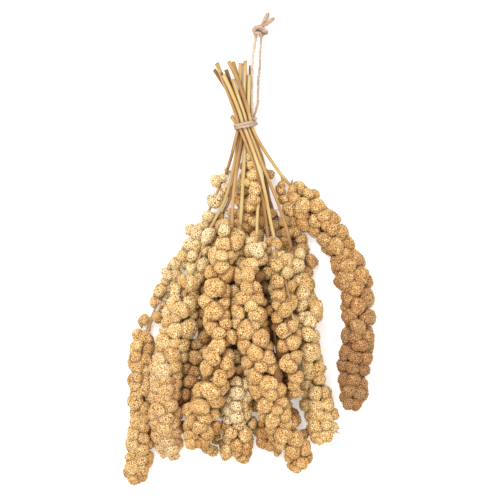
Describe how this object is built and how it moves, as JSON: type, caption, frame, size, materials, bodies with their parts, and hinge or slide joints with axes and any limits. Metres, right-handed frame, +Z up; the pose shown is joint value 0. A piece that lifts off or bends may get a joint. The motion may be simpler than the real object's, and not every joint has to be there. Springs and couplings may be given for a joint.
{
  "type": "tied bunch of dried millet sprays",
  "caption": "Bunch of dried foxtail millet sprays with golden tan seed heads, tied round the stalks with twine that ends in a knotted hanging loop; it lies on a surface.",
  "frame": {"origin": "on the surface the bunch lies on, under the centre of the stalks and seed heads", "axes": "+Y from the seed heads' tips towards the cut stalk ends and the twine loop, +Z up from the surface, +X to the right when looked down on with the stalks at the top"},
  "size_m": [0.1862, 0.3552, 0.0496],
  "materials": {
    "straw": "matte",
    "seed": "matte",
    "twine": "matte"
  },
  "bodies": {
    "root": {"stem_01": "straw", "stem_02": "straw", "stem_03": "straw", "stem_04": "straw", "stem_05": "straw", "stem_06": "straw", "stem_07": "straw", "stem_08": "straw", "stem_09": "straw", "stem_10": "straw", "stem_11": "straw", "stem_12": "straw", "seed_head_01": "seed", "seed_head_02": "seed", "seed_head_03": "seed", "seed_head_04": "seed", "seed_head_05": "seed", "seed_head_06": "seed", "seed_head_07": "seed", "seed_head_08": "seed", "seed_head_09": "seed", "seed_head_10": "seed", "seed_head_11": "seed", "seed_head_12": "seed", "tie_band": "twine", "tie_knot": "twine", "loop_strand_left": "twine", "loop_strand_right": "twine", "loop_knot": "twine"}
  },
  "joints": []
}
